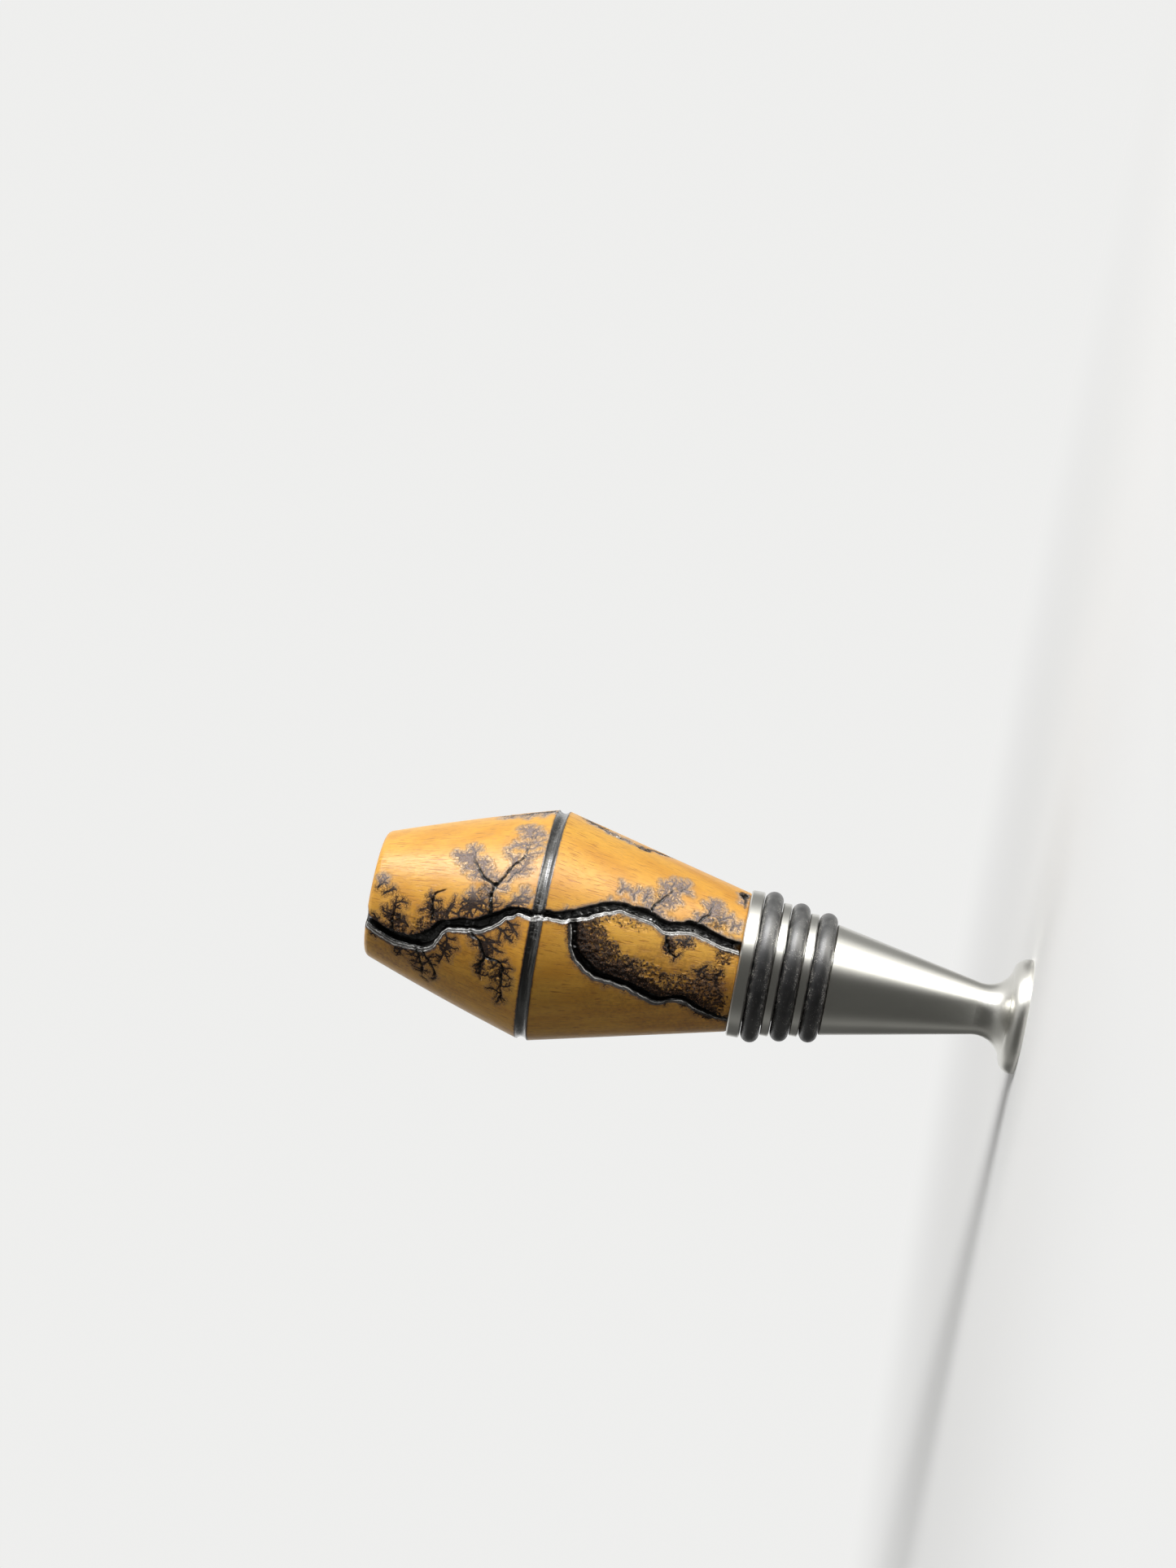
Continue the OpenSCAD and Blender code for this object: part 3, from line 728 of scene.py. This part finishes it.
# materials
def turned_place(m):
    """Coordinates in mm that keep the grain's lines along the turned side, from the belly's
    radius inwards; and the sine of the angle from the front."""
    x, y, z = m.split(m.in_mm())
    r = m.length(x, y)
    widen = m.math("DIVIDE", BELLY_R, m.most(r, TOP_R))
    sway = m.times(m.noise(m.coords(40, 40, 55), detail=1.0), 1.6)
    across = m.plus(m.times(x, widen), sway)
    return m.join(across, m.times(y, widen), z), m.math("DIVIDE", x, m.most(r, 1.0))


def plain_wood(m, place):
    """Colour of the oiled wood, with its fibre, and the relief of its short dark rays."""
    x, y, _ = m.split(m.in_mm())
    # growth rings 2.4 mm apart that wander by up to 5 mm
    wander = m.noise(m.coords(90, 90, 14))
    ring = m.plus(m.length(m.minus(x, PITH[0]), m.minus(y, PITH[1])), m.times(wander, 5.0))
    ring = m.ramp(m.math("SINE", m.times(ring, 2.6)), -1.0, 1.0)
    fibre = m.noise(m.stretched(place, 2.6, 2.6, 0.095), 1.0, 3.0, 0.6)
    broad = m.noise(m.coords(120, 120, 30), detail=3.0)
    ray = m.ramp(m.noise(m.stretched(place, 5.6, 5.6, 0.48), detail=1.0), 0.62, 0.68)
    thin = m.ramp(m.noise(m.stretched(place, 8.5, 8.5, 0.85), detail=1.0), 0.60, 0.68)
    mottle = m.noise(m.stretched(place, 1.7, 1.7, 1.1), 1.0, 3.0, 0.65)
    color = m.mix(ring, EARLY_WOOD, LATE_WOOD)
    color = m.mix(m.ramp(broad, 0.32, 0.68), color, PALE_WOOD)
    color = m.mix(m.times(m.ramp(fibre, 0.42, 0.7), 0.30), color, FIBRE)
    color = m.mix(m.times(m.ramp(mottle, 0.45, 0.75), 0.35), color, MOTTLE)
    color = m.mix(m.times(ray, 0.80), color, RAY)
    color = m.mix(m.times(thin, 0.40), color, THIN_RAY)
    return color, fibre, m.plus(m.most(ray, thin), m.times(mottle, 0.8))


def toast_shade_and_sheen(m, f, color):
    """A brown halo round the burns and in patches of painted shade on the side away from +X, painted
    weaker on the +X side, where a pale haze of painted sheen lies.
    """
    # browning from the burns, and from the patches of painted shade
    browned = m.most(f.scorch, m.times(f.crust, 0.76))
    halo = m.ramp(m.plus(browned, m.swing(f.rough, 0.75)), 0.10, 0.88)
    # painted light: the halo is weaker on the +X side
    halo = m.times(halo, m.ramp(f.ashen, 0.0, 1.0, 1.0, 0.45))
    color = m.mix(halo, color, TOAST_AND_SHADE)
    darkest = m.ramp(m.plus(browned, m.swing(f.rough, 0.7)), 0.48, 0.92)
    color = m.mix(darkest, color, DARK_TOAST_AND_SHADE)
    # painted sheen: a pale haze, strongest on the +X side
    haze = m.times(m.ramp(f.fuzz, 0.01, 0.55), m.ramp(f.rough, 0.22, 0.60, 0.35, 1.0))
    haze = m.times(haze, m.ramp(f.ashen, 0.0, 1.0, 0.06, 0.66))
    return m.mix(haze, color, PAINTED_SHEEN_HAZE)


def twigged(m, f, color):
    """The lace of the finest twigs with specks in it, then the twigs themselves; on the brown side the
    specks are ash, and on the +X side lace, specks and twigs are paler, a painted sheen with painted
    glints. Also returns the masks of lace and twigs."""
    cells = m.cell_edges(m.warp(f.at, 2.3, 0.45), 3.1)
    reach = m.plus(m.times(f.fuzz, 0.17), -0.004)
    thread = m.ramp(cells, m.times(reach, 0.35), m.plus(reach, 0.035), 1.0, 0.0)
    lace = m.times(thread, m.ramp(f.fuzz, 0.06, 0.30))
    # painted sheen: paler, fainter lace on the +X side
    tone = m.mix(f.ashen, m.mix(m.ramp(f.fuzz, 0.25, 0.8), *BROWN_LACE), PAINTED_SHEEN_LACE)
    color = m.mix(m.times(lace, m.ramp(f.ashen, 0.0, 1.0, 0.86, 0.68)), color, tone)
    # ash specks, and painted glints on the +X side
    specks = m.times(f.spots, m.ramp(f.fuzz, 0.22, 0.6))
    color = m.mix(m.times(specks, 0.5), color, m.mix(f.ashen, *ASH_AND_PAINTED_GLINT))
    twigs = m.ramp(m.plus(f.twig, m.swing(f.fine, 0.6)), 0.34, 0.72)
    # twigs, paler on the +X side as painted sheen
    tone = m.mix(m.ramp(f.twig, 0.90, 1.0), m.mix(f.ashen, *TWIG_AND_PAINTED_SHEEN), STEM)
    return m.mix(twigs, color, tone), lace, twigs


def crusted(m, f, color):
    """Crumbs of char. Also returns their mask."""
    uneven = m.plus(m.swing(f.rough, 1.0), m.swing(m.noise(f.at, 3.4, 3.0, 0.65), 1.5))
    crumbs = m.ramp(m.plus(m.times(f.crust, 1.15), uneven), 0.5, 0.74)
    return m.mix(m.times(crumbs, 0.94), color, m.mix(f.spots, *CRUMB)), crumbs


def channelled(m, f, color):
    """The black channels, streaks of painted highlight on the belly groove's lower wall, and two beads
    along the channels' lower edges whose bright colour is a painted highlight. Also returns the beads'
    mask."""
    color = m.mix(f.char, color, CHAR)
    # painted highlight: grey streaks on the groove's lower wall
    streaks = m.noise(m.stretched(f.at, 0.35, 0.35, 7.0), 1.0, 3.0, 0.6)
    color = m.mix(f.groove, color, m.mix(m.ramp(streaks, 0.38, 0.66), *PAINTED_GROOVE_HIGHLIGHT))
    # painted highlight: two bright lines along the channels' lower edges, dark grey between them
    wave = m.plus(f.over, m.swing(f.rough, 0.26))
    second = m.times(m.bead(wave, BEADS[1]), m.ramp(f.rim, 0.80, 0.92, 0.0, 0.75))
    beads = m.most(m.bead(wave, BEADS[0]), second)
    lit_rim = m.ramp(f.rim, 0.25, 0.6)
    between = m.times(m.ramp(wave, 0.02, 0.08), m.ramp(wave, 0.44, 0.52, 1.0, 0.0))
    color = m.mix(m.times(m.times(between, lit_rim), 0.8), color, BETWEEN_BEADS)
    broken = m.ramp(m.noise(m.coords(1300, 1300, 700)), 0.32, 0.62, 0.10, 1.0)
    beads = m.times(m.times(beads, lit_rim), broken)
    return m.mix(m.times(beads, 0.95), color, PAINTED_BEAD_HIGHLIGHT), beads


def wood_material():
    """Oiled beech with its burns; f holds what the steps of the colour share."""
    m = Nodes("turned_beech_burned")
    place, sine = turned_place(m)
    color, fibre, relief = plain_wood(m, place)
    f = SimpleNamespace(**{name: m.attribute(name) for name in FIELDS})
    f.at = m.in_mm()
    f.rough = m.noise(f.at, 1.9, 4.0, 0.62)
    f.fine = m.noise(f.at, 5.5, 3.0, 0.6)
    f.spots = m.ramp(f.fine, 0.57, 0.66)
    # 0 on the brown side, 1 on the side of +X, where the burns get a painted sheen and painted glints
    f.ashen = m.ramp(sine, 0.10, 0.34)
    color, lace, twigs = twigged(m, f, toast_shade_and_sheen(m, f, color))
    color, crumbs = crusted(m, f, color)
    color, beads = channelled(m, f, color)
    m.set(color=color)

    # relief finer than the mesh: grain, wrinkled burns and raised beads
    burned = m.most(m.most(crumbs, lace), twigs)
    solid = m.minus(1.0, f.char)
    grain = m.plus(m.times(fibre, 0.6), m.times(relief, -0.9))
    normal = m.bump(grain, 0.03, 0.5)
    wrinkle = m.plus(f.rough, m.times(f.fine, 0.6))
    wrinkle = m.times(wrinkle, m.most(m.times(burned, solid), 0.03))
    normal = m.bump(wrinkle, 0.30, 0.9, normal)
    normal = m.bump(beads, 0.05, 0.6, normal)

    # gloss: dull inside the channels and on brown burns, varnish most on the open char
    m.set(rough=m.minus(m.plus(0.33, m.times(fibre, 0.12)), m.times(f.char, 0.16)))
    inside = m.times(f.char, m.ramp(f.over, -0.35, -0.05, 1.0, 0.0))
    brown = m.times(burned, m.ramp(f.ashen, 0.0, 1.0, 1.0, 0.3))
    dull = m.most(inside, m.times(brown, 0.8))
    m.set(specular=m.ramp(dull, 0.0, 1.0, 0.60, 0.05))
    open_char = m.minus(f.char, inside)
    shiny = m.most(open_char, m.times(burned, m.ramp(f.ashen, 0.0, 1.0, 0.10, 0.55)))
    coat = m.plus(m.ramp(dull, 0.0, 1.0, 0.16, 0.02), m.times(shiny, 0.66))
    m.set(normal=normal, coat_normal=normal, coat_rough=0.13, coat=coat)
    return m.material


def steel_material():
    """Turned steel: fine marks round the axis, faint smears, and a sheen along the marks."""
    m = Nodes("turned_steel")
    z = m.split(m.in_mm())[2]
    marks = m.rings(z, 9.0, 5.0, 0.7)
    fine = m.rings(z, 42.0, 2.0, 0.6)
    smear = m.noise(m.coords(160, 160, 60), detail=3.0)
    m.set(color=m.mix(m.ramp(smear, 0.35, 0.7), *STEEL), metal=1.0)
    m.set(rough=m.plus(0.25, m.times(smear, 0.12)), aniso=0.55, aniso_turn=0.25)
    t = m.tree.nodes.new("ShaderNodeTangent")
    t.direction_type = "RADIAL"
    t.axis = "Z"
    m.set(tangent=t.outputs[0])
    m.set(normal=m.bump(m.plus(marks, m.times(fine, 0.5)), 0.012, 0.5))
    return m.material


def rubber_material():
    """Black rubber with mould lines, specks of dust on its flanks and a grey film of painted sheen on
    the side of +X.
    """
    m = Nodes("black_rubber")
    at = m.in_mm()
    cloud = m.noise(at, 0.8, 3.0)
    grit = m.noise(at, 6.0, 2.0, 0.6)
    geometry = m.tree.nodes.new("ShaderNodeNewGeometry")
    upright = m.split(geometry.outputs["Normal"])[2]
    flank = m.ramp(m.math("ABSOLUTE", upright), 0.35, 0.75)
    caught = m.times(flank, m.ramp(cloud, 0.40, 0.55))
    caught = m.times(m.ramp(grit, 0.555, 0.615), caught)
    loose = m.times(m.ramp(grit, 0.645, 0.70), m.ramp(cloud, 0.45, 0.60))
    x, _, z = m.split(at)
    # painted sheen: lighter grey on the +X side
    film = m.ramp(m.plus(x, m.swing(grit, 5.0)), 1.0, 9.5)
    film = m.times(film, m.ramp(cloud, 0.3, 0.7, 0.25, 0.7))
    color = m.mix(film, m.mix(m.ramp(cloud, 0.3, 0.75), *RUBBER), PAINTED_SHEEN_FILM)
    m.set(color=m.mix(m.times(m.most(caught, loose), 0.75), color, DUST))
    m.set(rough=m.plus(0.29, m.times(cloud, 0.18)), specular=1.0)
    lines = m.rings(z, 11.0, 2.0)
    m.set(normal=m.bump(m.plus(m.plus(grit, cloud), lines), 0.04, 0.5))
    return m.material


def choose(tree, share, a, b):
    """Two shaders mixed: a where the share is 0, b where it is 1."""
    n = tree.nodes.new("ShaderNodeMixShader")
    for socket, value in zip(n.inputs, (share, a, b)):
        tree.links.new(value, socket)
    return n.outputs[0]


def seen_directly(tree):
    """1 for rays of the camera, of mirrors and of glass, which see the pale background."""
    path = tree.nodes.new("ShaderNodeLightPath")
    total = path.outputs["Is Camera Ray"]
    for name in ("Is Glossy Ray", "Is Transmission Ray"):
        n = tree.nodes.new("ShaderNodeMath")
        n.operation = "MAXIMUM"
        tree.links.new(total, n.inputs[0])
        tree.links.new(path.outputs[name], n.inputs[1])
        total = n.outputs[0]
    return total


def mirrored_tone(tree, direction):
    """The studio that mirrors see in this direction: pale, with its dark and bright places."""
    tone = None
    for toward, edge, color in MIRRORED:
        dot = tree.nodes.new("ShaderNodeVectorMath")
        dot.operation = "DOT_PRODUCT"
        dot.inputs[1].default_value = Vector(toward).normalized()
        tree.links.new(direction, dot.inputs[0])
        lobe = tree.nodes.new("ShaderNodeMapRange")
        lobe.interpolation_type = "SMOOTHSTEP"
        lobe.inputs["From Min"].default_value, lobe.inputs["From Max"].default_value = edge
        tree.links.new(dot.outputs["Value"], lobe.inputs["Value"])
        mix = tree.nodes.new("ShaderNodeMix")
        mix.data_type = "RGBA"
        tree.links.new(lobe.outputs["Result"], mix.inputs["Factor"])
        mix.inputs["A"].default_value = (*PALE, 1)
        if tone is not None:
            tree.links.new(tone, mix.inputs["A"])
        mix.inputs["B"].default_value = (*color, 1)
        tone = mix.outputs["Result"]
    return tone


def floor_material():
    """Pale and matt near the object; further off it turns into the background. Mirrors see
    the studio's places in it too, and light that bounces meets a dimmer far floor."""
    m = Nodes("pale_floor")
    soft = m.noise(m.coords(3, 3, 3))
    at = m.coords(1, 1, 1)
    x, y, _ = m.split(at)
    away = m.length(x, y)
    seen = seen_directly(m.tree)
    near = m.mix(soft, rgb(*FLOOR_TONE), rgb(*(c + 0.015 for c in FLOOR_TONE)))
    dim = m.times(m.ramp(away, *DIM_FROM), m.minus(1.0, seen))
    m.set(color=m.mix(dim, near, rgb(*FAR_TONE)), rough=0.8, specular=0.0)

    def glowing(color):
        n = m.tree.nodes.new("ShaderNodeEmission")
        m.put(n.inputs["Color"], color)
        return n.outputs[0]

    faded = m.times(m.ramp(away, *FADE), seen)
    pale = choose(m.tree, faded, m.shader.outputs[0], glowing(rgb(*PALE)))
    toward = m.tree.nodes.new("ShaderNodeVectorMath")
    toward.operation = "NORMALIZE"
    m.link(at, toward.inputs[0])
    studio = glowing(mirrored_tone(m.tree, toward.outputs[0]))
    glossy = m.tree.nodes.new("ShaderNodeLightPath").outputs["Is Glossy Ray"]
    share = m.times(glossy, m.ramp(away, *STUDIO_FROM))
    m.link(choose(m.tree, share, pale, studio), m.out.inputs[0])
    return m.material


# the wooden head
def burn_marks(canvas, rng):
    """Draws all the marks. The second value of each channel says how strongly it is lipped."""
    lips = ((MAIN, 1.0), (LOOP, 0.8), (SIDE, 0.5), (SIDE_UP, 0.5), (COLLAR_BURN, 0.0))
    for path, lipped in lips:
        canvas.channel(smooth_path(path, 0.4, rng, 0.10), lipped)
    for path in BRANCHES:
        canvas.channel(smooth_path(path, 0.4, rng, 0.14), 0.3)
    bits = []
    for path, length, per_mm in FRINGES:
        fringe(rng, path, length, per_mm, bits)
    for angle, percent, heading, length in TUFTS:
        grow(rng, (angle, percent), heading, length, TUFT_WIDTH, 0, bits)
    for bit in bits:
        canvas.bit(*bit)
    for patch in PATCHES:
        canvas.patch("crust", *patch)
    # toasting, and on the side away from +X patches of painted shade
    for patch in TOASTED_AND_SHADED:
        canvas.patch("scorch", *patch)


def carved(rows, columns, canvas, rng):
    """The grid's points in mm, moved along the surface's normal by the burn marks."""
    kinds = np.array([r[2] for r in rows])
    line = np.array([[r[0], r[1]] for r in rows])
    slope = np.gradient(line, axis=0)
    slope /= np.maximum(np.hypot(slope[:, 0], slope[:, 1]), 1e-9)[:, None]
    around = np.radians(columns)[None, :] * BELLY_R
    u, v = np.broadcast_arrays(around, line[:, 1:2])
    # crumbs of two sizes, in mm
    crumbs = value_noise(u, v, 0.42, rng) + 0.6 * value_noise(u, v, 0.21, rng) - 0.7
    uneven = UNEVEN_D * canvas.char * (value_noise(u, v, 0.55, rng) - 0.5)
    rough = np.clip(canvas.crust * 1.3 - 0.2, 0, 1) * (1 - canvas.rim)
    move = uneven - canvas.deep - TWIG_D * canvas.twig - LACE_D * canvas.fuzz
    move -= rough * (0.12 + CRUMB_D * crumbs)
    move[kinds == 0] = 0
    r = np.minimum(line[:, 0:1] - move * slope[:, 1:2], LIMIT_R)
    z = np.clip(line[:, 1:2] + move * slope[:, 0:1], WOOD_Z, TOP_Z)
    r = np.where(line[:, 0:1] == 0, 0, np.maximum(r, 0))
    a = np.radians(columns)[None, :]
    return np.stack([r * np.sin(a), -r * np.cos(a), z], -1)


def skin(name, points, fields, pole_first):
    """A mesh of rows of the grid, closed over the pole that is its first or last row."""
    body = slice(1, None) if pole_first else slice(0, -1)
    pole = 0 if pole_first else -1
    rings = points[body]
    k, n = rings.shape[:2]
    i, j = np.meshgrid(np.arange(k - 1), np.arange(n), indexing="ij")
    j2 = (j + 1) % n
    quads = np.stack([i * n + j, (i + 1) * n + j, (i + 1) * n + j2, i * n + j2], -1)
    faces = quads.reshape(-1, 4).tolist()
    turn = [(c, (c + 1) % n) for c in range(n)]
    if pole_first:
        faces += [[k * n, c, d] for c, d in turn]
    else:
        faces += [[k * n, (k - 1) * n + d, (k - 1) * n + c] for c, d in turn]
    verts = np.vstack([rings.reshape(-1, 3), points[pole, :1]])
    mesh = bpy.data.meshes.new(name)
    mesh.from_pydata((verts * MM).tolist(), [], faces)
    mesh.polygons.foreach_set("use_smooth", [True] * len(mesh.polygons))
    for field_name, field in fields.items():
        values = np.concatenate([field[body].ravel(), field[pole, :1]]).astype(np.float32)
        layer = mesh.attributes.new(field_name, "FLOAT", "POINT")
        layer.data.foreach_set("value", values)
    mesh.validate()
    mesh.update()
    piece = bpy.data.objects.new(name, mesh)
    bpy.context.scene.collection.objects.link(piece)
    return piece


def build_head():
    """The turned head as two skins that meet at the upper edge of the belly groove."""
    rows, seam = head_profile()
    columns = head_columns()
    canvas = Canvas(rows, columns)
    rng = np.random.default_rng(SEED)
    burn_marks(canvas, rng)
    points = carved(rows, columns, canvas, rng)

    # the belly groove is charred, has a brown halo, and its lower wall carries streaks of painted
    # highlight
    turned = np.array([q[2] == 1 for q in rows])[:, None]
    rise = np.array([q[1] for q in rows])[:, None] - BELLY_Z
    off = np.abs(rise) - GROOVE_W / 2
    char = np.maximum(canvas.char, np.where((off < -0.02) & turned, 1.0, 0.0))
    scorch = np.maximum(canvas.scorch, 0.85 * np.exp(-np.maximum(off, 0) / 0.22) * turned)
    lower_wall = np.clip(0.5 - (rise - 0.05) / 0.3, 0, 1) * np.clip((rise + 0.82) / 0.16, 0, 1)
    groove = lower_wall * turned * (1 - canvas.char)
    values = (char, canvas.twig, canvas.fuzz, scorch, canvas.crust, canvas.rim, canvas.over, groove)
    fields = dict(zip(FIELDS, values))
    above = {k: f[: seam + 1] for k, f in fields.items()}
    below = {k: f[seam:] for k, f in fields.items()}
    crown = skin("head_above_groove", points[: seam + 1], above, True)
    base = skin("head_below_groove", points[seam:], below, False)
    wood = wood_material()
    for piece in (crown, base):
        piece.data.materials.append(wood)
        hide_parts("wooden_head")
        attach(piece, "root")


def dress(node, material):
    """Gives a CAD node's mesh a new material."""
    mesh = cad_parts[node].data
    mesh.materials.clear()
    mesh.materials.append(material)


# floor, light, camera
def build_floor():
    bpy.ops.mesh.primitive_plane_add(size=12.0, location=(0, 0, 0))
    floor = bpy.context.object
    floor.name = "floor"
    floor.data.materials.append(floor_material())


def build_world():
    """A pale backdrop behind the object, a studio for mirrors, and a low even light."""
    world = bpy.data.worlds.new("soft_studio")
    bpy.context.scene.world = world
    world.use_nodes = True
    tree = world.node_tree
    tree.nodes.clear()

    def background(color, strength=1.0):
        n = tree.nodes.new("ShaderNodeBackground")
        if isinstance(color, bpy.types.NodeSocket):
            tree.links.new(color, n.inputs["Color"])
        else:
            n.inputs["Color"].default_value = color
        n.inputs["Strength"].default_value = strength
        return n.outputs[0]

    lit = background(ROOM_TONE, ROOM_LIGHT)
    pale = background(rgb(*PALE))
    direction = tree.nodes.new("ShaderNodeTexCoord").outputs["Generated"]
    studio = background(mirrored_tone(tree, direction))
    glossy = tree.nodes.new("ShaderNodeLightPath").outputs["Is Glossy Ray"]
    shown = choose(tree, seen_directly(tree), lit, pale)
    out = tree.nodes.new("ShaderNodeOutputWorld")
    tree.links.new(choose(tree, glossy, shown, studio), out.inputs[0])


def area_light(name, place, size, energy, mirrored):
    data = bpy.data.lights.new(name, "AREA")
    data.shape = "RECTANGLE"
    data.size, data.size_y = size
    data.energy = energy
    lamp = bpy.data.objects.new(name, data)
    bpy.context.scene.collection.objects.link(lamp)
    lamp.location = place
    lamp.visible_glossy = mirrored
    lamp.rotation_mode = "QUATERNION"
    lamp.rotation_quaternion = (Vector(MIDDLE) - Vector(place)).to_track_quat("-Z", "Y")


def build_camera():
    """In front of the stopper, 3.7 cm above the floor, and rolled so that the axis lies across
    the picture."""
    forward = Vector(CAMERA_FORWARD).normalized()
    up = Vector(CAMERA_UP)
    up = (up - forward * up.dot(forward)).normalized()
    right = forward.cross(up)
    data = bpy.data.cameras.new("photo_camera")
    data.sensor_width = 36.0
    data.lens = FOCAL_PIXELS / PHOTO_HEIGHT * data.sensor_width
    data.clip_start = 0.01
    data.clip_end = 100.0
    cam = bpy.data.objects.new("photo_camera", data)
    bpy.context.scene.collection.objects.link(cam)
    turn = Matrix((right, up, -forward)).transposed().to_4x4()
    cam.matrix_world = Matrix.Translation(Vector(CAMERA_PLACE) * MM) @ turn
    bpy.context.scene.camera = cam


# everything built in turn
build_head()
dress("steel_stopper", steel_material())
rubber = rubber_material()
for name in ("o_ring_upper", "o_ring_middle", "o_ring_lower"):
    dress(name, rubber)
build_floor()
build_world()
for lamp in LAMPS:
    area_light(*lamp)
build_camera()
bpy.context.scene.view_settings.view_transform = "Standard"
